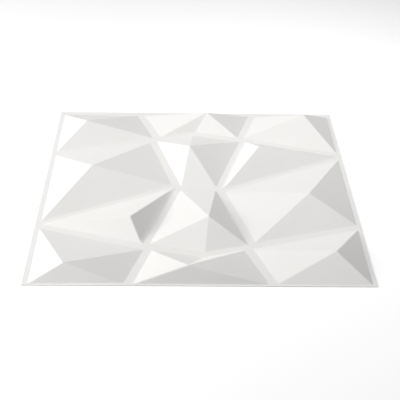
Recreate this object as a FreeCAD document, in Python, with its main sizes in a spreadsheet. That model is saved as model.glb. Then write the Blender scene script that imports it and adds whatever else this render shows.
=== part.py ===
"""Faceted wall panel tile: one square of thermoformed plastic sheet.

The panel lies on its back. A flat border and flat ribbons rest on the wall, and between them
twelve peaks stand out, each with straight facets that run from its outline to one point. The
pattern reads the same after half a turn, so six peaks are drawn and the other six are copies.
The back follows the front one gauge below, so the sheet is thin all over and every peak is
hollow. The facets turn up from the flat strips in round bends.

Lengths are millimetres. X runs across the panel, Y up it and Z out from the wall. The origin is
the middle of the back, on the plane that rests on the wall.
"""

import FreeCAD
import Part
import Sketcher
import os

PANEL = "wall_panel"

# Driving dimensions: alias, value, and what it measures
SIZES = [
    ("panel_width", 500, "side of the square along X"),
    ("panel_length", 500, "side of the square along Y"),
    ("gauge", 1, "thickness of the sheet, measured along Z"),
    ("peak_rise", 18, "height of every peak above the ribbons"),
    ("border_width", 7.5, "flat strip along each edge"),
    ("ribbon_width", 12, "flat strips between the peaks"),
    ("bend_radius", 10, "round bend where a facet turns up from a flat strip"),
    ("pattern_side", 500, "side of the panel that the places below are measured on"),
    ("end_node_x", 102, "where ribbons meet the far and near edges"),
    ("side_node_y", 103, "where ribbons meet the left and right edges"),
    ("outer_left_x", 78.5, "crossing of ribbons, far left of the middle"),
    ("outer_left_y", 153.5, "the same crossing, up the panel"),
    ("outer_right_x", 77.5, "crossing of ribbons, far right of the middle"),
    ("outer_right_y", 158, "the same crossing, up the panel"),
    ("inner_x", 34.5, "the two crossings beside the middle of the panel"),
    ("inner_y", 5, "the same crossings, up and down the panel"),
    ("kink_x", 8, "bend in the ribbon between the two outer crossings"),
    ("kink_y", 174.5, "the same bend, up the panel"),
    ("corner_peak_x", 197, "peak in the far left corner"),
    ("corner_peak_y", 190, "the same peak, up the panel"),
    ("end_peak_x", 18.5, "peak at the middle of the far edge"),
    ("end_peak_y", 223, "the same peak, up the panel"),
    ("shoulder_peak_x", 195, "peak in the far right corner"),
    ("shoulder_peak_y", 220, "the same peak, up the panel"),
    ("side_peak_x", 175, "peak at the left edge"),
    ("side_peak_y", 39, "the same peak, up the panel"),
    ("middle_peak_x", 14, "peak beside the middle of the panel"),
    ("middle_peak_y", 104, "the same peak, up the panel"),
    ("wedge_peak_x", 107, "three-sided peak at the right"),
    ("wedge_peak_y", 106, "the same peak, up the panel"),
]

# Places on the pattern, as formulas for X and Y. The first twelve are the nodes where the
# ribbons' centre lines meet, and the last six the points of the drawn peaks. The pattern
# stretches with the panel.
PLACES = {
    "far_left_corner": ("-pattern_side / 2", "pattern_side / 2"),
    "far_right_corner": ("pattern_side / 2", "pattern_side / 2"),
    "end_left": ("-end_node_x", "pattern_side / 2"),
    "end_right": ("end_node_x", "pattern_side / 2"),
    "left_far": ("-pattern_side / 2", "side_node_y"),
    "left_near": ("-pattern_side / 2", "-side_node_y"),
    "right_far": ("pattern_side / 2", "side_node_y"),
    "outer_left": ("-outer_left_x", "outer_left_y"),
    "outer_right": ("outer_right_x", "outer_right_y"),
    "inner_left": ("-inner_x", "inner_y"),
    "inner_right": ("inner_x", "-inner_y"),
    "kink": ("-kink_x", "kink_y"),
    "corner_point": ("-corner_peak_x", "corner_peak_y"),
    "end_point": ("end_peak_x", "end_peak_y"),
    "shoulder_point": ("shoulder_peak_x", "shoulder_peak_y"),
    "side_point": ("-side_peak_x", "side_peak_y"),
    "middle_point": ("-middle_peak_x", "middle_peak_y"),
    "wedge_point": ("wedge_peak_x", "wedge_peak_y"),
}

# The six drawn peaks, with the nodes counter-clockwise round each
PEAKS = {
    "corner": ("far_left_corner", "left_far", "outer_left", "end_left"),
    "end": ("end_left", "outer_left", "kink", "outer_right", "end_right"),
    "shoulder": ("end_right", "outer_right", "right_far", "far_right_corner"),
    "side": ("left_far", "left_near", "inner_left", "outer_left"),
    "middle": ("outer_left", "inner_left", "inner_right", "outer_right", "kink"),
    "wedge": ("outer_right", "inner_right", "right_far"),
}

TOUCHING = 0.001  # how close two places lie to count as one
VOLUME_MATCH = 1e-6  # share by which the volume may miss that of a flat sheet


def fill_sheet(doc):
    """Writes the sizes into a spreadsheet with an alias for each, and works out the places."""
    cells = [(alias, str(value), meaning) for alias, value, meaning in SIZES]
    for name, formulas in PLACES.items():
        for axis, formula, side in zip("xy", formulas, ("panel_width", "panel_length")):
            stretched = f"=({formula}) * {side} / pattern_side"
            cells.append((f"{name}_at_{axis}", stretched, f"place of {name} along {axis}"))
    sheet = doc.addObject("Spreadsheet::Sheet", "Sizes")
    for row, (alias, content, meaning) in enumerate(cells, start=1):
        sheet.set(f"A{row}", meaning)
        sheet.set(f"B{row}", content)
        sheet.setAlias(f"B{row}", alias)
    doc.recompute()
    return sheet


def place_in_plan(sheet, name):
    """The point that a named place stands for."""
    return FreeCAD.Vector(sheet.get(f"{name}_at_x"), sheet.get(f"{name}_at_y"), 0)


def on_panel_edge(one, other):
    """True where two places lie on the same edge of the panel."""
    pairs = zip(PLACES[one], PLACES[other])
    return any(a == b and "pattern_side" in a for a, b in pairs)


def origin_item(body, role):
    """One of the body's own origin planes or axes."""
    return next(item for item in body.Origin.OriginFeatures if item.Role == role)


def flat_sketch(body, name, level):
    """An empty sketch parallel to the wall, at a level above it or on its plane."""
    sketch = body.newObject("Sketcher::SketchObject", name)
    sketch.AttachmentSupport = [(origin_item(body, "XY_Plane"), "")]
    sketch.MapMode = "FlatFace"
    if level:
        sketch.setExpression("AttachmentOffset.Base.z", level)
    return sketch


def pin_point(sketch, sheet, geometry, name):
    """Ties the first point of a piece of geometry to a named place in the plan."""
    for axis in "xy":
        alias = f"{name}_at_{axis}"
        tie = Sketcher.Constraint(f"Distance{axis.upper()}", -1, 1, geometry, 1, sheet.get(alias))
        index = sketch.addConstraint(tie)
        sketch.setExpression(f"Constraints[{index}]", f"Sizes.{alias}")


def closed_chain(sketch, corners, construction=False):
    """Adds straight lines round the corners, and returns the number of the first."""
    count = len(corners)
    first = sketch.GeometryCount
    for here in range(count):
        line = Part.LineSegment(corners[here], corners[(here + 1) % count])
        sketch.addGeometry(line, construction)
    for here in range(count):
        onward = first + (here + 1) % count
        sketch.addConstraint(Sketcher.Constraint("Coincident", first + here, 2, onward, 1))
    return first


def inset_corners(corners, insets):
    """Corners of the outline inside counter-clockwise lines, each moved in by its own inset."""
    count = len(corners)
    lines = []
    for here in range(count):
        along = (corners[(here + 1) % count] - corners[here]).normalize()
        inward = FreeCAD.Vector(-along.y, along.x, 0)
        lines.append((corners[here] + inward * insets[here], along))
    moved = []
    for here in range(count):
        (start, along), (other, onward) = lines[here - 1], lines[here]
        gap = other - start
        turn = along.x * onward.y - along.y * onward.x
        moved.append(start + along * ((gap.x * onward.y - gap.y * onward.x) / turn))
    return moved


def peak_outline(body, sheet, name, nodes, level):
    """The foot of one peak, drawn inside the centre lines of the ribbons round it.

    The centre lines are construction lines pinned at the nodes. Each real line is parallel to
    its centre line, half a ribbon inside it, or a border's width inside the panel's edge.
    """
    sketch = flat_sketch(body, name, level)
    insets = []
    for here, node in enumerate(nodes):
        if on_panel_edge(node, nodes[(here + 1) % len(nodes)]):
            insets.append(("Sizes.border_width", sheet.get("border_width")))
        else:
            insets.append(("Sizes.ribbon_width / 2", sheet.get("ribbon_width") / 2))
    corners = [place_in_plan(sheet, node) for node in nodes]
    centre = closed_chain(sketch, corners, construction=True)
    for here, node in enumerate(nodes):
        pin_point(sketch, sheet, centre + here, node)
    real = closed_chain(sketch, inset_corners(corners, [inset for _, inset in insets]))
    for here, (expression, inset) in enumerate(insets):
        sketch.addConstraint(Sketcher.Constraint("Parallel", centre + here, real + here))
        spacing = Sketcher.Constraint("Distance", centre + here, 1, real + here, inset)
        index = sketch.addConstraint(spacing)
        sketch.setExpression(f"Constraints[{index}]", expression)
    return sketch


def peak_point(body, sheet, name, place, level):
    """The single point that the facets of one peak run to."""
    sketch = flat_sketch(body, name, level)
    geometry = sketch.addGeometry(Part.Point(place_in_plan(sheet, place)), False)
    pin_point(sketch, sheet, geometry, place)
    return sketch


def blank(body, sheet):
    """The flat sheet that the peaks are formed in."""
    sketch = flat_sketch(body, "blank_outline", None)
    half_width, half_length = sheet.get("panel_width") / 2, sheet.get("panel_length") / 2
    corners = [
        FreeCAD.Vector(half_width, half_length, 0),
        FreeCAD.Vector(-half_width, half_length, 0),
        FreeCAD.Vector(-half_width, -half_length, 0),
        FreeCAD.Vector(half_width, -half_length, 0),
    ]
    first = closed_chain(sketch, corners)
    pin_point(sketch, sheet, first, "far_right_corner")
    for line in range(first, first + len(corners)):
        kind = "Vertical" if (line - first) % 2 else "Horizontal"
        sketch.addConstraint(Sketcher.Constraint(kind, line))
    opposite = Sketcher.Constraint("Symmetric", first, 1, first + 2, 1, -1, 1)
    sketch.addConstraint(opposite)
    pad = body.newObject("PartDesign::Pad", "blank")
    pad.Profile = sketch
    pad.setExpression("Length", "Sizes.gauge")
    body.Document.recompute()


def peaks(body, sheet, side, loft_type, foot_level, point_level):
    """Lofts each drawn peak from its foot to its point, and copies all six by half a turn."""
    lofts = []
    for peak, nodes in PEAKS.items():
        outline = peak_outline(body, sheet, f"{side}_{peak}_outline", nodes, foot_level)
        point = peak_point(body, sheet, f"{side}_{peak}_point", f"{peak}_point", point_level)
        body.Document.recompute()
        loft = body.newObject(loft_type, f"{side}_{peak}_peak")
        loft.Profile = outline
        loft.Sections = [(point, ["Vertex1"])]
        loft.Ruled = True
        body.Document.recompute()
        lofts.append(loft)
    turned = body.newObject("PartDesign::PolarPattern", f"{side}_half_turn")
    turned.Originals = lofts
    turned.Axis = (origin_item(body, "Z_Axis"), [""])
    turned.Angle = 360
    turned.Occurrences = 2
    body.Tip = turned
    body.Document.recompute()


def is_foot(edge, sheet, level):
    """True where an edge lies on the level, and not on the panel's own outline."""
    across = abs(edge.CenterOfMass.x) - sheet.get("panel_width") / 2
    up = abs(edge.CenterOfMass.y) - sheet.get("panel_length") / 2
    heights = [abs(vertex.Point.z - level) for vertex in edge.Vertexes]
    return max(heights) < TOUCHING and max(across, up) < -TOUCHING


def bends(body, sheet, side, level):
    """Rounds every edge where a facet leaves the flat strips, on one side of the sheet."""
    sharp = body.Tip
    feet = [
        f"Edge{number}"
        for number, edge in enumerate(sharp.Shape.Edges, start=1)
        if is_foot(edge, sheet, level)
    ]
    fillet = body.newObject("PartDesign::Fillet", f"{side}_bends")
    fillet.Base = (sharp, feet)
    fillet.setExpression("Radius", "Sizes.bend_radius")
    body.Document.recompute()


def check(doc, body, sheet):
    """Stops the build where a feature failed or the sheet is not one whole solid."""
    for item in doc.Objects:
        if {"Invalid", "Error"} & set(item.State):
            raise RuntimeError(f"{item.Label} failed: {item.State}")
    shape = body.Shape
    if shape.isNull() or not shape.isValid() or len(shape.Solids) != 1:
        raise RuntimeError(f"{body.Label} is not one valid solid")
    flat = sheet.get("panel_width") * sheet.get("panel_length") * sheet.get("gauge")
    if abs(shape.Volume - flat) > flat * VOLUME_MATCH:
        raise RuntimeError(f"{body.Label} is not one gauge thick: {shape.Volume} mm3")


def main():
    """Builds the panel and writes its solid."""
    doc = FreeCAD.newDocument(PANEL)
    sheet = fill_sheet(doc)
    body = doc.addObject("PartDesign::Body", PANEL)
    body.Label = PANEL
    blank(body, sheet)
    additive, subtractive = "PartDesign::AdditiveLoft", "PartDesign::SubtractiveLoft"
    peaks(body, sheet, "front", additive, "Sizes.gauge", "Sizes.gauge + Sizes.peak_rise")
    peaks(body, sheet, "back", subtractive, None, "Sizes.peak_rise")
    bends(body, sheet, "front", sheet.get("gauge"))
    bends(body, sheet, "back", 0)
    check(doc, body, sheet)
    os.makedirs("parts", exist_ok=True)
    body.Shape.exportStep(f"parts/{body.Label}.step")
    print(f"{body.Label}: {body.Shape.Volume:.1f} mm3, {len(body.Shape.Faces)} faces")


main()
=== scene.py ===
"""Faceted wall panel tile: one square of white thermoformed sheet, lying on its back.

The sheet is modelled as it is drawn. Six cells of a flat pattern are inset by half a ribbon and
raised to a point each. They are copied by half a turn, bent along every foot and ridge, and
thickened by one gauge.

Lengths are metres. X runs across the panel, Y up it and Z out from the wall. The origin is the
middle of the back, on the plane that rests on the wall or the floor.
"""

from __future__ import annotations

import logging
import math
from collections.abc import Callable, Iterator
from dataclasses import dataclass, field
from enum import Enum
from typing import TypeVar

import bmesh
import bpy
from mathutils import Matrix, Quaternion, Vector


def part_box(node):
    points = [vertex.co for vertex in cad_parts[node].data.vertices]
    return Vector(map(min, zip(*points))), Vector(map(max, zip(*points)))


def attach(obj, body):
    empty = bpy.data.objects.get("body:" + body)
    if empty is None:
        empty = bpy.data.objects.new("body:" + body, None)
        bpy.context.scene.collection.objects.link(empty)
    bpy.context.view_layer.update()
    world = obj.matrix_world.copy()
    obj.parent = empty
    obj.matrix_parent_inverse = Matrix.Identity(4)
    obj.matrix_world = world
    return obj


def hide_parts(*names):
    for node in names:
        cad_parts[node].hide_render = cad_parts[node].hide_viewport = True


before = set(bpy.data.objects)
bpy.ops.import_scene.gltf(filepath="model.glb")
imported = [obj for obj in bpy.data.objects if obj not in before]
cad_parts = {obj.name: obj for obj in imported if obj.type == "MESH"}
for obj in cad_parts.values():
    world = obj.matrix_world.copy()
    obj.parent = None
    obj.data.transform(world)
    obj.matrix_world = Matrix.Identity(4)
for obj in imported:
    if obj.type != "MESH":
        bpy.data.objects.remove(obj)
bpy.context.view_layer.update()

LOG = logging.getLogger("wall_panel")

PANEL_NODE = "wall_panel"
TOUCHING = 1e-5  # how close two places lie to count as one
INSET_SLACK = 1e-4  # how far short of its width an even inset may fall
FLAT_ANGLE = math.radians(1)  # faces that meet at less than this lie in one plane
CUT_ANGLE = math.radians(80)  # only a cut edge turns by more than this

Item = TypeVar("Item")


class Bend(Enum):
    """Inside radius of each kind of bend in the sheet, in metres.

    The ridges are bent as tightly as the border, so RIDGE is a second name for that radius.
    """

    BORDER = 0.004
    RIBBON = 0.008
    SOFT = 0.013
    VALLEY = 0.020
    RIDGE = 0.004


# ---------------------------------------------------------------- the pattern


@dataclass(frozen=True)
class Cell:
    """One peak of the pattern.

    Attributes:
        name: What the cell is called.
        corners: Names of the nodes counter-clockwise round it.
        point: Where its facets meet, in plan.
        pulls: How far corners of the foot lie from an even inset, by node.
    """

    name: str
    corners: tuple[str, ...]
    point: tuple[float, float]
    pulls: dict[str, tuple[float, float]] = field(default_factory=dict)


@dataclass(frozen=True)
class Pattern:
    """Where ribbons cross and peaks stand, for the half of the panel that is drawn.

    Attributes:
        half_side: Half the panel's side.
        end_node_x: How far the ribbons at the far edge end from the middle of it.
        side_node_y: How far those at the left and right edges do.
        outer_left: The crossing at the far left of the middle.
        outer_right: The one at the far right of it.
        inner_left: The left end of the ribbon across the middle.
        kink: Where the ribbon between the two outer crossings turns.
        outer_left_pull: How far the flat at that crossing lies off the crossing itself.
        outer_right_pull: The same, at the far right.
    """

    half_side: float
    end_node_x: float = 0.102
    side_node_y: float = 0.103
    outer_left: tuple[float, float] = (-0.0785, 0.1535)
    outer_right: tuple[float, float] = (0.0775, 0.158)
    inner_left: tuple[float, float] = (-0.0345, 0.005)
    kink: tuple[float, float] = (-0.008, 0.1745)
    outer_left_pull: tuple[float, float] = (0.003, 0.001)
    outer_right_pull: tuple[float, float] = (0.0015, -0.0007)

    def nodes(self) -> dict[str, tuple[float, float]]:
        """Names each node of the drawn half.

        Returns:
            The place in plan of every node, by name.
        """
        far = self.half_side
        return {
            "far_left_corner": (-far, far),
            "far_right_corner": (far, far),
            "end_left": (-self.end_node_x, far),
            "end_right": (self.end_node_x, far),
            "left_far": (-far, self.side_node_y),
            "left_near": (-far, -self.side_node_y),
            "right_far": (far, self.side_node_y),
            "outer_left": self.outer_left,
            "outer_right": self.outer_right,
            "inner_left": self.inner_left,
            "inner_right": (-self.inner_left[0], -self.inner_left[1]),
            "kink": self.kink,
        }

    @staticmethod
    def cells() -> tuple[Cell, ...]:
        """The six drawn cells. The other six are these, turned half round."""
        return (
            Cell(
                "corner",
                ("far_left_corner", "left_far", "outer_left", "end_left"),
                (-0.197, 0.1892),
                {"outer_left": (0.007, 0.0035), "end_left": (-0.0025, -0.0015)},
            ),
            Cell(
                "end",
                ("end_left", "outer_left", "kink", "outer_right", "end_right"),
                (0.0185, 0.223),
                {
                    "end_left": (-0.002, 0.0),
                    "outer_left": (0.009, 0.003),
                    "kink": (0.0045, 0.001),
                    "outer_right": (-0.0015, 0.0),
                    "end_right": (0.002, 0.0),
                },
            ),
            Cell(
                "shoulder",
                ("end_right", "outer_right", "right_far", "far_right_corner"),
                (0.195, 0.219),
                {
                    "end_right": (0.003, -0.0015),
                    "right_far": (0.0, 0.002),
                    "outer_right": (-0.0015, 0.0015),
                },
            ),
            Cell(
                "side",
                ("left_far", "left_near", "inner_left", "outer_left"),
                (-0.175, 0.039),
                {"inner_left": (-0.0015, 0.001), "outer_left": (-0.0005, -0.0015)},
            ),
            Cell(
                "middle",
                ("outer_left", "inner_left", "inner_right", "outer_right", "kink"),
                (-0.014, 0.104),
                {
                    "outer_left": (0.0, 0.001),
                    "inner_left": (0.002, -0.005),
                    "inner_right": (-0.001, 0.003),
                    "kink": (0.001, 0.001),
                    "outer_right": (0.0045, -0.0035),
                },
            ),
            Cell(
                "wedge",
                ("outer_right", "inner_right", "right_far"),
                (0.1055, 0.105),
                {
                    "outer_right": (0.006, -0.002),
                    "inner_right": (-0.0025, -0.006),
                    "right_far": (0.007, 0.0),
                },
            ),
        )

    def outline_of(self, cell: Cell) -> list[Vector]:
        """The corners of a cell in plan, counter-clockwise."""
        nodes = self.nodes()
        return [Vector(nodes[name]) for name in cell.corners]

    def crossing_pulls(self) -> dict[str, tuple[float, float]]:
        """How far the middle of each outer crossing moves to stay between its feet."""
        return {"outer_left": self.outer_left_pull, "outer_right": self.outer_right_pull}

    @staticmethod
    def bend_of(cell: Cell, one: str, other: str) -> Bend:
        """Tells which bend runs along the side of a cell between two nodes.

        Args:
            cell: The cell.
            one: The node at one end of the side.
            other: The node at its other end.

        Returns:
            The kind of bend.
        """
        pair = frozenset((one, other))
        rims = (
            {"far_left_corner", "left_far"},
            {"far_left_corner", "end_left"},
            {"end_left", "end_right"},
            {"end_right", "far_right_corner"},
            {"far_right_corner", "right_far"},
            {"left_far", "left_near"},
        )
        if pair in map(frozenset, rims):
            return Bend.BORDER
        if (cell.name, pair) == ("middle", frozenset({"outer_left", "inner_left"})):
            return Bend.SOFT
        if (cell.name, pair) == ("wedge", frozenset({"outer_right", "inner_right"})):
            return Bend.VALLEY
        return Bend.RIBBON


# ---------------------------------------------------------------- finishes


@dataclass(frozen=True)
class MouldedPlastic:
    """Matt white rigid plastic, with the fine grain that a mould leaves.

    Attributes:
        name: What the material is called.
        refraction: Its index of refraction.
        light_colour: The lighter of two close tints.
        dark_colour: The darker one.
        roughness: The least and the most.
        clouds: Lumps to a metre and finer layers of the noise between the tints.
        patches: The same, for the noise in the roughness.
        waves: The same, for the slight unevenness of the sheet.
        wave_depth: How deep that is.
        grain: The same as for waves, for the mould's grain.
        grain_depth: How deep that is.
        noise_span: The part of a noise's range that runs from one tint or roughness to the other.
    """

    name: str = "matt_white_plastic"
    refraction: float = 1.5
    light_colour: tuple[float, float, float] = (0.915, 0.906, 0.889)
    dark_colour: tuple[float, float, float] = (0.895, 0.886, 0.866)
    roughness: tuple[float, float] = (0.56, 0.68)
    clouds: tuple[float, float] = (7.0, 3.0)
    patches: tuple[float, float] = (60.0, 4.0)
    waves: tuple[float, float] = (9.0, 1.0)
    wave_depth: float = 0.0006
    grain: tuple[float, float] = (1400.0, 2.0)
    grain_depth: float = 0.00002
    noise_span: tuple[float, float] = (0.3, 0.7)

    def build(self) -> bpy.types.Material:
        """Makes the material from its own nodes.

        Returns:
            The finished material.
        """
        material, nodes, links = empty_material(self.name)
        shader = nodes.new("ShaderNodeBsdfPrincipled")
        shader.inputs["IOR"].default_value = self.refraction
        output = nodes.new("ShaderNodeOutputMaterial")
        links.new(shader.outputs["BSDF"], output.inputs["Surface"])
        place = nodes.new("ShaderNodeTexCoord").outputs["Object"]

        cloud = self.noise(nodes, links, place, *self.clouds)
        tint = nodes.new("ShaderNodeValToRGB")
        stops = zip(
            tint.color_ramp.elements, self.noise_span, (self.dark_colour, self.light_colour)
        )
        for stop, position, colour in stops:
            stop.position = position
            stop.color = (*colour, 1.0)
        links.new(cloud, tint.inputs["Fac"])
        links.new(tint.outputs["Color"], shader.inputs["Base Color"])

        patch = self.noise(nodes, links, place, *self.patches)
        span = nodes.new("ShaderNodeMapRange")
        limits = zip(
            ("From Min", "From Max", "To Min", "To Max"), (*self.noise_span, *self.roughness)
        )
        for name, limit in limits:
            span.inputs[name].default_value = limit
        links.new(patch, span.inputs["Value"])
        links.new(span.outputs["Result"], shader.inputs["Roughness"])

        wave = nodes.new("ShaderNodeBump")
        wave.inputs["Distance"].default_value = self.wave_depth
        waves = self.noise(nodes, links, place, *self.waves)
        links.new(waves, wave.inputs["Height"])
        grain = nodes.new("ShaderNodeBump")
        grain.inputs["Distance"].default_value = self.grain_depth
        grains = self.noise(nodes, links, place, *self.grain)
        links.new(grains, grain.inputs["Height"])
        links.new(wave.outputs["Normal"], grain.inputs["Normal"])
        links.new(grain.outputs["Normal"], shader.inputs["Normal"])
        return material

    @staticmethod
    def noise(
        nodes: bpy.types.Nodes,
        links: bpy.types.NodeLinks,
        place: bpy.types.NodeSocket,
        scale: float,
        detail: float,
    ) -> bpy.types.NodeSocket:
        """Adds a noise texture on the object's own coordinates.

        Args:
            nodes: The material's nodes.
            links: The material's links.
            place: The coordinates that it reads.
            scale: How many lumps there are to a metre.
            detail: How many finer layers it has.

        Returns:
            The socket that gives its height.
        """
        texture = nodes.new("ShaderNodeTexNoise")
        texture.inputs["Scale"].default_value = scale
        texture.inputs["Detail"].default_value = detail
        links.new(place, texture.inputs["Vector"])
        return texture.outputs["Fac"]


@dataclass(frozen=True)
class StudioPaper:
    """White paper that reads as white from the camera and still takes a shadow.

    Attributes:
        name: What the material is called.
        colour: The paper's own colour.
        lift: How much light the camera sees it give off by itself.
    """

    name: str = "studio_paper"
    colour: tuple[float, float, float] = (0.80, 0.80, 0.80)
    lift: float = 0.41

    def build(self) -> bpy.types.Material:
        """Makes the material from its own nodes.

        Returns:
            The finished material.
        """
        material, nodes, links = empty_material(self.name)
        paper = nodes.new("ShaderNodeBsdfDiffuse")
        paper.inputs["Color"].default_value = (*self.colour, 1.0)
        glow = nodes.new("ShaderNodeEmission")
        lift = scaled(nodes, links, seen_directly(nodes, links), self.lift)
        links.new(lift, glow.inputs["Strength"])
        both = nodes.new("ShaderNodeAddShader")
        links.new(paper.outputs["BSDF"], both.inputs[0])
        links.new(glow.outputs["Emission"], both.inputs[1])
        output = nodes.new("ShaderNodeOutputMaterial")
        links.new(both.outputs["Shader"], output.inputs["Surface"])
        return material


def empty_material(
    name: str,
) -> tuple[bpy.types.Material, bpy.types.Nodes, bpy.types.NodeLinks]:
    """Makes a material with no nodes in it.

    Args:
        name: What the material is called.

    Returns:
        The material, its nodes and its links.
    """
    material = bpy.data.materials.new(name)
    material.use_nodes = True
    tree = material.node_tree
    tree.nodes.clear()
    return material, tree.nodes, tree.links


def seen_directly(nodes: bpy.types.Nodes, links: bpy.types.NodeLinks) -> bpy.types.NodeSocket:
    """Tells camera, mirror and see-through rays from those that only carry light.

    Args:
        nodes: The nodes to add to.
        links: The links to add to.

    Returns:
        A socket that is 1 for those rays and 0 for all others.
    """
    path = nodes.new("ShaderNodeLightPath")
    total = path.outputs["Is Camera Ray"]
    for other in ("Is Glossy Ray", "Is Transmission Ray"):
        either = nodes.new("ShaderNodeMath")
        either.operation = "MAXIMUM"
        links.new(total, either.inputs[0])
        links.new(path.outputs[other], either.inputs[1])
        total = either.outputs["Value"]
    return total


def scaled(
    nodes: bpy.types.Nodes,
    links: bpy.types.NodeLinks,
    value: bpy.types.NodeSocket,
    factor: float,
    plus: float = 0.0,
) -> bpy.types.NodeSocket:
    """Multiplies a value and adds to it.

    Args:
        nodes: The nodes to add to.
        links: The links to add to.
        value: The socket to read.
        factor: What it is multiplied by.
        plus: What is added to that.

    Returns:
        The socket that gives the result.
    """
    maths = nodes.new("ShaderNodeMath")
    maths.operation = "MULTIPLY_ADD"
    maths.inputs[1].default_value = factor
    maths.inputs[2].default_value = plus
    links.new(value, maths.inputs[0])
    return maths.outputs["Value"]


# ---------------------------------------------------------------- the panel


@dataclass
class FormedPanel:
    """The whole panel: border, ribbons and twelve hollow peaks in one sheet.

    Attributes:
        gauge: How thick the sheet is.
        border_width: The flat border, before the pattern is shifted.
        ribbon_width: The flat ribbons between feet.
        pattern_shift: How far the whole pattern lies from the middle of the cut square.
        point_lean: How far the points lie off their places over the feet.
        bend_segments: Steps across a bend.
        rim_radius: How far the cut edges are eased.
        rim_segments: Steps across that.
        least_facet: Area that both facets at a crease pass, and no strip of a bend does.
        smooth_angle: Edges that turn by more are shaded sharp.
        flat_weight: How strongly the larger face at a corner sets the shading there.
        finish: What the sheet is made of.
    """

    gauge: float = 0.001
    border_width: float = 0.0075
    ribbon_width: float = 0.012
    pattern_shift: tuple[float, float] = (0.0014, -0.0041)
    point_lean: tuple[float, float] = (0.0, 0.0014)
    bend_segments: int = 5
    rim_radius: float = 0.0004
    rim_segments: int = 2
    least_facet: float = 0.0004
    smooth_angle: float = math.radians(50)
    flat_weight: int = 100
    finish: MouldedPlastic = field(default_factory=MouldedPlastic)

    def __post_init__(self) -> None:
        """Takes the panel's overall size from the frame."""
        low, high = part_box(PANEL_NODE)
        self.half_side = (high[0] - low[0]) / 2
        self.top = high[2]
        self.pattern = Pattern(self.half_side)

    def build(self) -> bpy.types.Object:
        """Models the panel and dresses it.

        Returns:
            The finished piece.
        """
        *cells, wedge = self.pattern.cells()
        panel = self.draw_cells(cells)
        self.trim()
        self.draw_cell(wedge)
        self.inset_cells()
        self.trim()
        self.raise_points()
        self.pull_feet()
        self.mark_bends()
        self.copy_half_turn()
        self.lean_points()
        self.place_in_outline()
        self.form_bends(panel)
        self.thicken()
        self.keep_creases()
        self.smooth(panel)
        panel.data.materials.append(self.finish.build())
        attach(panel, "root")
        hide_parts(PANEL_NODE)
        LOG.info("%s: %d faces", panel.name, len(panel.data.polygons))
        return panel

    @property
    def trimmed_side(self) -> float:
        """Half the square whose inset by half a ribbon leaves the border's width."""
        return self.half_side - self.border_width + self.ribbon_width / 2

    def draw_cells(self, cells: list[Cell]) -> bpy.types.Object:
        """Starts the piece and draws cells flat on the front's level.

        The piece starts as a triangle, which is then deleted to leave an empty mesh.

        Args:
            cells: The cells to draw.

        Returns:
            The piece, in edit mode.
        """
        bpy.ops.mesh.primitive_circle_add(vertices=3, location=(0, 0, self.gauge))
        panel = bpy.context.object
        panel.name = panel.data.name = "panel_sheet"
        bpy.ops.object.transform_apply(location=True, rotation=True, scale=True)
        bpy.ops.object.mode_set(mode="EDIT")
        bpy.ops.mesh.select_mode(type="VERT")
        bpy.ops.mesh.delete(type="VERT")
        for cell in cells:
            self.draw_cell(cell)
        return panel

    def draw_cell(self, cell: Cell) -> None:
        """Adds one polygon and pulls its corners to the cell's nodes.

        Args:
            cell: The cell to draw.
        """
        bpy.ops.mesh.primitive_circle_add(
            vertices=len(cell.corners),
            radius=self.ribbon_width,
            fill_type="NGON",
            location=(*cell.point, self.gauge),
        )
        middle = Vector(cell.point)
        drawn = [vertex.co.copy() for vertex in current_mesh().verts if vertex.select]
        drawn.sort(key=lambda place: angle_from(middle, place.xy))
        nodes = [Vector((*self.pattern.nodes()[name], self.gauge)) for name in cell.corners]
        nodes.sort(key=lambda place: angle_from(middle, place.xy))
        for start, end in zip(drawn, nodes):
            move_vertex(start, end - start)

    def trim(self) -> None:
        """Cuts off what reaches past the trimmed square."""
        for outward in ((1, 0, 0), (-1, 0, 0), (0, 1, 0), (0, -1, 0)):
            bpy.ops.mesh.select_all(action="SELECT")
            bpy.ops.mesh.bisect(
                plane_co=Vector(outward) * self.trimmed_side,
                plane_no=outward,
                clear_outer=True,
            )

    def inset_cells(self) -> None:
        """Insets every cell by half a ribbon, so that its middle is the foot of its peak."""
        bpy.ops.mesh.select_mode(type="FACE")
        bpy.ops.mesh.select_all(action="SELECT")
        if current_mesh().faces[0].normal.z < 0:
            bpy.ops.mesh.flip_normals()
        bpy.ops.mesh.inset(
            thickness=self.ribbon_width / 2, use_individual=True, use_even_offset=True
        )

    def raise_points(self) -> None:
        """Draws the middle of every cell up to its point."""
        select_faces(self.is_foot)
        bpy.ops.mesh.poke(offset=self.top - self.gauge)
        bpy.ops.mesh.select_mode(type="VERT")
        for cell in self.pattern.cells():
            start = self.raised_point(self.pattern.outline_of(cell))
            move_vertex(start, Vector((*cell.point, self.top)) - start)

    def is_foot(self, face: bmesh.types.BMFace) -> bool:
        """True for the foot of a peak, the only polygon that lies off every cell's outline."""
        middle = face.calc_center_median().xy
        for cell in self.pattern.cells():
            outline = self.pattern.outline_of(cell)
            if is_inside(middle, outline):
                reach = min(distance_to_outline(vertex.co.xy, outline) for vertex in face.verts)
                return reach > self.ribbon_width / 2 - INSET_SLACK
        return False

    def raised_point(self, outline: list[Vector]) -> Vector:
        """Finds the raised vertex inside a cell.

        Args:
            outline: The cell's corners in plan.

        Returns:
            Where that vertex is.
        """
        raised = [
            vertex.co.copy()
            for vertex in current_mesh().verts
            if self.is_raised(vertex.co) and is_inside(vertex.co.xy, outline)
        ]
        if len(raised) != 1:
            raise RuntimeError(f"{len(raised)} points in one cell")
        return raised[0]

    def is_raised(self, place: Vector) -> bool:
        """True above the level of the ribbons."""
        return place.z > self.gauge + TOUCHING

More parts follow.
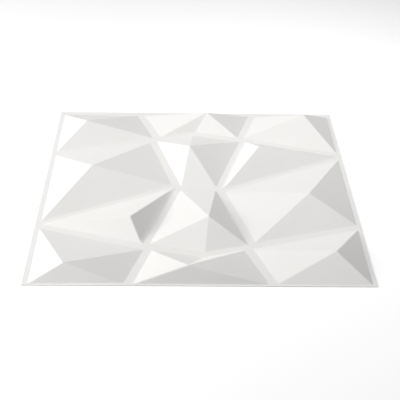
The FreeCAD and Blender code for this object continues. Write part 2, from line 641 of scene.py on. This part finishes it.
    def pull_feet(self) -> None:
        """Moves the corners of the feet that lie off an even inset, and two crossings with them."""
        nodes = self.pattern.nodes()
        for cell in self.pattern.cells():
            for name, pull in cell.pulls.items():
                move_vertex(self.foot_corner(cell, Vector(nodes[name])), Vector((*pull, 0)))
        for name, pull in self.pattern.crossing_pulls().items():
            move_vertex(Vector((*nodes[name], self.gauge)), Vector((*pull, 0)))

    def foot_corner(self, cell: Cell, node: Vector) -> Vector:
        """Finds the corner of a cell's foot that is nearest to one of its nodes.

        Args:
            cell: The cell.
            node: The node, in plan.

        Returns:
            Where that corner is.
        """
        outline = self.pattern.outline_of(cell)
        feet = [
            vertex.co.copy()
            for vertex in current_mesh().verts
            if not self.is_raised(vertex.co)
            and is_inside(vertex.co.xy, outline)
            and distance_to_outline(vertex.co.xy, outline) > self.least_inset
        ]
        return min(feet, key=lambda place: (place.xy - node).length)

    @property
    def least_inset(self) -> float:
        """A distance from a cell's outline that only the corners of its foot pass."""
        return self.border_width / 4

    def mark_bends(self) -> None:
        """Gives each edge that is bent the width of its bend, as a bevel weight."""
        bpy.ops.mesh.select_mode(type="EDGE")
        marks: list[tuple[Vector, float]] = []
        for edge in current_mesh().edges:
            angle = turn_at(edge)
            if angle < FLAT_ANGLE:
                continue
            middle = middle_of(edge)
            if not self.is_raised(middle):
                bend = self.nearest_bend(middle.xy)
            elif edge.is_convex:
                bend = Bend.RIDGE
            else:
                continue
            marks.append((middle, bend.value * math.tan(angle / 2)))
        for middle, width in marks:
            select_edges(lambda edge, at=middle: (middle_of(edge) - at).length < TOUCHING)
            bpy.ops.transform.edge_bevelweight(value=width / self.widest_bend)

    @property
    def widest_bend(self) -> float:
        """The width that a bevel weight of 1 stands for: half a ribbon."""
        return self.ribbon_width / 2

    def nearest_bend(self, middle: Vector) -> Bend:
        """Finds the side of a cell that one side of a foot runs along.

        Args:
            middle: The middle of the foot's side, in plan.

        Returns:
            The kind of bend on that side.
        """
        nodes = self.pattern.nodes()
        best, nearest = Bend.RIBBON, math.inf
        for cell in self.pattern.cells():
            if not is_inside(middle, self.pattern.outline_of(cell)):
                continue
            for one, other in pairs_round(list(cell.corners)):
                gap = distance_to_line(middle, Vector(nodes[one]), Vector(nodes[other]))
                if gap < nearest:
                    nearest = gap
                    best = self.pattern.bend_of(cell, one, other)
        return best

    @staticmethod
    def copy_half_turn() -> None:
        """Copies the six cells by half a turn and joins the halves."""
        bpy.ops.mesh.select_mode(type="VERT")
        bpy.ops.mesh.select_all(action="SELECT")
        bpy.ops.mesh.duplicate()
        bpy.ops.transform.rotate(value=math.pi, orient_axis="Z", center_override=(0, 0, 0))
        bpy.ops.mesh.select_all(action="SELECT")
        bpy.ops.mesh.remove_doubles(threshold=TOUCHING)

    def lean_points(self) -> None:
        """Moves all the points a little one way, as on the real panel."""
        select_verts(lambda vertex: self.is_raised(vertex.co))
        bpy.ops.transform.translate(value=(*self.point_lean, 0))

    def place_in_outline(self) -> None:
        """Moves the pattern to where it lies between the cut edges, and fits the border to them."""
        shift = Vector((*self.pattern_shift, 0))
        bpy.ops.mesh.select_all(action="SELECT")
        bpy.ops.transform.translate(value=shift)
        for outward in map(Vector, ((1, 0, 0), (-1, 0, 0), (0, 1, 0), (0, -1, 0))):
            reach = self.trimmed_side + shift.dot(outward)
            select_verts(lambda vertex: abs(vertex.co.dot(outward) - reach) < TOUCHING)
            bpy.ops.transform.translate(value=outward * (self.half_side - reach))
        bpy.ops.object.mode_set(mode="OBJECT")

    def form_bends(self, panel: bpy.types.Object) -> None:
        """Rounds every marked edge to its own radius.

        Args:
            panel: The piece.
        """
        bpy.ops.object.modifier_add(type="BEVEL")
        bevel = panel.modifiers[-1]
        bevel.limit_method = "WEIGHT"
        bevel.width = self.widest_bend
        bevel.segments = self.bend_segments
        bevel.use_clamp_overlap = False
        bpy.ops.object.modifier_apply(modifier=bevel.name)

    def thicken(self) -> None:
        """Gives the sheet its gauge and eases the cut edges all round."""
        bpy.ops.object.mode_set(mode="EDIT")
        bpy.ops.mesh.select_mode(type="FACE")
        bpy.ops.mesh.select_all(action="SELECT")
        bpy.ops.mesh.extrude_region_move(
            TRANSFORM_OT_translate={"value": (0, 0, -self.gauge)}
        )
        bpy.ops.mesh.select_all(action="SELECT")
        bpy.ops.mesh.normals_make_consistent(inside=False)
        bpy.ops.mesh.select_mode(type="EDGE")
        select_edges(lambda edge: turn_at(edge) > CUT_ANGLE)
        bpy.ops.mesh.bevel(
            offset=self.rim_radius, segments=self.rim_segments, affect="EDGES"
        )

    def keep_creases(self) -> None:
        """Keeps the shading of the inward creases crisp, and leaves edit mode."""
        select_edges(lambda edge: self.is_crease(edge) or self.runs_on_from_crease(edge))
        bpy.ops.mesh.mark_sharp()
        bpy.ops.object.mode_set(mode="OBJECT")

    def is_crease(self, edge: bmesh.types.BMEdge) -> bool:
        """True where two facets meet with no bend between them, as at an inward kink."""
        return (
            turn_at(edge) > FLAT_ANGLE
            and min(face.calc_area() for face in edge.link_faces) > self.least_facet
        )

    def runs_on_from_crease(self, edge: bmesh.types.BMEdge) -> bool:
        """True for the edge that carries on past a crease's end, so the shading parts there too."""
        for corner in edge.verts:
            for crease in filter(self.is_crease, corner.link_edges):
                others = [other for other in corner.link_edges if other != crease]
                back = direction_from(corner, crease)
                onward = max(others, key=lambda other: back.angle(direction_from(corner, other)))
                if edge == onward:
                    return True
        return False

    def smooth(self, panel: bpy.types.Object) -> None:
        """Shades the bends round while the flats stay flat.

        Args:
            panel: The piece.
        """
        bpy.ops.object.shade_smooth_by_angle(angle=self.smooth_angle)
        bpy.ops.object.modifier_add(type="WEIGHTED_NORMAL")
        weighted = panel.modifiers[-1]
        weighted.weight = self.flat_weight
        weighted.keep_sharp = True
        bpy.ops.object.modifier_apply(modifier=weighted.name)


def current_mesh() -> bmesh.types.BMesh:
    """The mesh that is open in edit mode, with its lists ready to index."""
    mesh = bmesh.from_edit_mesh(bpy.context.object.data)
    mesh.verts.ensure_lookup_table()
    mesh.edges.ensure_lookup_table()
    mesh.faces.ensure_lookup_table()
    return mesh


def clear_selection() -> bmesh.types.BMesh:
    """Deselects everything in edit mode.

    Returns:
        The open mesh.
    """
    mesh = current_mesh()
    for elements in (mesh.faces, mesh.edges, mesh.verts):
        for element in elements:
            element.select = False
    return mesh


def finish_selection(mesh: bmesh.types.BMesh) -> None:
    """Passes a selection made in code on to the operators."""
    mesh.select_flush_mode()
    bmesh.update_edit_mesh(bpy.context.object.data)


def select_verts(wanted: Callable[[bmesh.types.BMVert], bool]) -> None:
    """Selects the vertices that a test picks, and nothing else."""
    mesh = clear_selection()
    for vertex in mesh.verts:
        if wanted(vertex):
            vertex.select = True
    finish_selection(mesh)


def select_edges(wanted: Callable[[bmesh.types.BMEdge], bool]) -> None:
    """Selects the edges that a test picks, and nothing else."""
    mesh = clear_selection()
    for edge in mesh.edges:
        if wanted(edge):
            edge.select_set(True)
    finish_selection(mesh)


def select_faces(wanted: Callable[[bmesh.types.BMFace], bool]) -> None:
    """Selects the faces that a test picks, and nothing else."""
    mesh = clear_selection()
    for face in mesh.faces:
        if wanted(face):
            face.select_set(True)
    finish_selection(mesh)


def move_vertex(place: Vector, step: Vector) -> None:
    """Moves the vertex that is at a place."""
    select_verts(lambda vertex: (vertex.co - place).length < TOUCHING)
    bpy.ops.transform.translate(value=step)


def middle_of(edge: bmesh.types.BMEdge) -> Vector:
    """The middle of an edge."""
    return (edge.verts[0].co + edge.verts[1].co) / 2


def turn_at(edge: bmesh.types.BMEdge) -> float:
    """The angle between the two faces at an edge, in radians, and 0 where there is one face."""
    if len(edge.link_faces) != 2:
        return 0.0
    first, second = edge.link_faces
    return first.normal.angle(second.normal)


def direction_from(corner: bmesh.types.BMVert, edge: bmesh.types.BMEdge) -> Vector:
    """The way along an edge, away from one of its ends."""
    return edge.other_vert(corner).co - corner.co


def angle_from(middle: Vector, place: Vector) -> float:
    """The direction of a place in plan, seen from a middle, in radians."""
    return math.atan2(place.y - middle.y, place.x - middle.x)


def is_inside(place: Vector, corners: list[Vector]) -> bool:
    """Tells whether a place in plan lies inside an outline.

    Args:
        place: The place.
        corners: The outline's corners.

    Returns:
        True inside it.
    """
    inside = False
    for start, end in pairs_round(corners):
        if (start.y > place.y) != (end.y > place.y):
            crossing = start.x + (place.y - start.y) * (end.x - start.x) / (end.y - start.y)
            inside ^= place.x < crossing
    return inside


def pairs_round(corners: list[Item]) -> Iterator[tuple[Item, Item]]:
    """Yields each corner with the next one, all the way round."""
    yield from zip(corners, corners[1:] + corners[:1])


def distance_to_outline(place: Vector, corners: list[Vector]) -> float:
    """Measures how far a place in plan is from the nearest side of an outline, in metres."""
    return min(distance_to_line(place, start, end) for start, end in pairs_round(corners))


def distance_to_line(place: Vector, start: Vector, end: Vector) -> float:
    """Measures how far a place in plan is from the straight line between two others.

    Args:
        place: The place.
        start: One end of the line.
        end: Its other end.

    Returns:
        The distance in metres.
    """
    along = end - start
    share = max(0.0, min(1.0, (place - start).dot(along) / along.length_squared))
    return (place - start - along * share).length


# ---------------------------------------------------------------- the studio


@dataclass(frozen=True)
class Lamp:
    """A round soft lamp that faces the middle of the panel.

    Attributes:
        name: What the lamp is called.
        place: Where it hangs.
        size: How wide it is.
        watts: How strong it is.
    """

    name: str
    place: tuple[float, float, float]
    size: float
    watts: float


@dataclass(frozen=True)
class Studio:
    """White paper, a low lamp at the left, a weak one above, and the camera.

    Attributes:
        floor_size: Side of the sheet of paper.
        floor_level: Its height, a hair below the panel so that the two never share a plane.
        lamps: The two lamps.
        ambient: Strength of the even light from all round.
        camera_place: Where the camera stands.
        camera_aim: What its middle points at.
        camera_roll: How far it is turned about its own line of sight.
        camera_lens: Its focal length in millimetres.
        paper: What the floor is made of.
    """

    floor_size: float = 30.0
    floor_level: float = -0.00005
    lamps: tuple[Lamp, ...] = (
        Lamp("key_lamp", (-1.98, -0.32, 0.81), 0.9, 51.0),
        Lamp("top_lamp", (0.31, 0.27, 0.7), 1.0, 3.5),
    )
    ambient: float = 0.155
    camera_place: tuple[float, float, float] = (-0.033, -1.1988, 0.7955)
    camera_aim: tuple[float, float, float] = (0.0034, -0.0357, 0.0)
    camera_roll: float = math.radians(1.45)
    camera_lens: float = 79.28
    paper: StudioPaper = field(default_factory=StudioPaper)

    def build(self) -> None:
        """Sets up everything round the panel."""
        self.lay_floor()
        for lamp in self.lamps:
            self.hang(lamp)
        self.light_world()
        self.place_camera()
        bpy.context.scene.view_settings.view_transform = "Standard"
        LOG.info("studio: floor, %d lamps, world and camera", len(self.lamps))

    def lay_floor(self) -> None:
        """Lays one large sheet of paper under the panel."""
        bpy.ops.mesh.primitive_plane_add(
            size=self.floor_size, location=(0, 0, self.floor_level)
        )
        floor = bpy.context.object
        floor.name = floor.data.name = "studio_floor"
        floor.data.materials.append(self.paper.build())

    @staticmethod
    def hang(lamp: Lamp) -> None:
        """Hangs one lamp in its place.

        Args:
            lamp: The lamp to hang.
        """
        light = bpy.data.lights.new(lamp.name, type="AREA")
        light.shape = "DISK"
        light.size = lamp.size
        light.energy = lamp.watts
        holder = bpy.data.objects.new(lamp.name, light)
        bpy.context.scene.collection.objects.link(holder)
        holder.location = lamp.place
        holder.rotation_euler = Vector(lamp.place).to_track_quat("Z", "Y").to_euler()
        holder.visible_camera = False

    def light_world(self) -> None:
        """Fills the room with even light, and shows it white."""
        world = bpy.data.worlds.new("studio_world")
        world.use_nodes = True
        nodes, links = world.node_tree.nodes, world.node_tree.links
        nodes.clear()
        room = nodes.new("ShaderNodeBackground")
        direct = seen_directly(nodes, links)
        level = scaled(nodes, links, direct, 1.0 - self.ambient, self.ambient)
        links.new(level, room.inputs["Strength"])
        room.inputs["Color"].default_value = (1.0, 1.0, 1.0, 1.0)
        output = nodes.new("ShaderNodeOutputWorld")
        links.new(room.outputs["Background"], output.inputs["Surface"])
        bpy.context.scene.world = world

    def place_camera(self) -> None:
        """Stands the camera in front of the panel and above it."""
        camera = bpy.data.cameras.new("camera")
        camera.lens = self.camera_lens
        holder = bpy.data.objects.new("camera", camera)
        bpy.context.scene.collection.objects.link(holder)
        holder.location = self.camera_place
        view = Vector(self.camera_aim) - Vector(self.camera_place)
        upright = view.to_track_quat("-Z", "Y")
        roll = Quaternion((0.0, 0.0, 1.0), self.camera_roll)
        holder.rotation_euler = (upright @ roll).to_euler()
        bpy.context.scene.camera = holder


def main() -> None:
    """Builds the panel and the studio round it."""
    logging.basicConfig(level=logging.INFO)
    bpy.ops.object.select_all(action="DESELECT")
    FormedPanel().build()
    Studio().build()


if __name__ == "__main__":
    main()
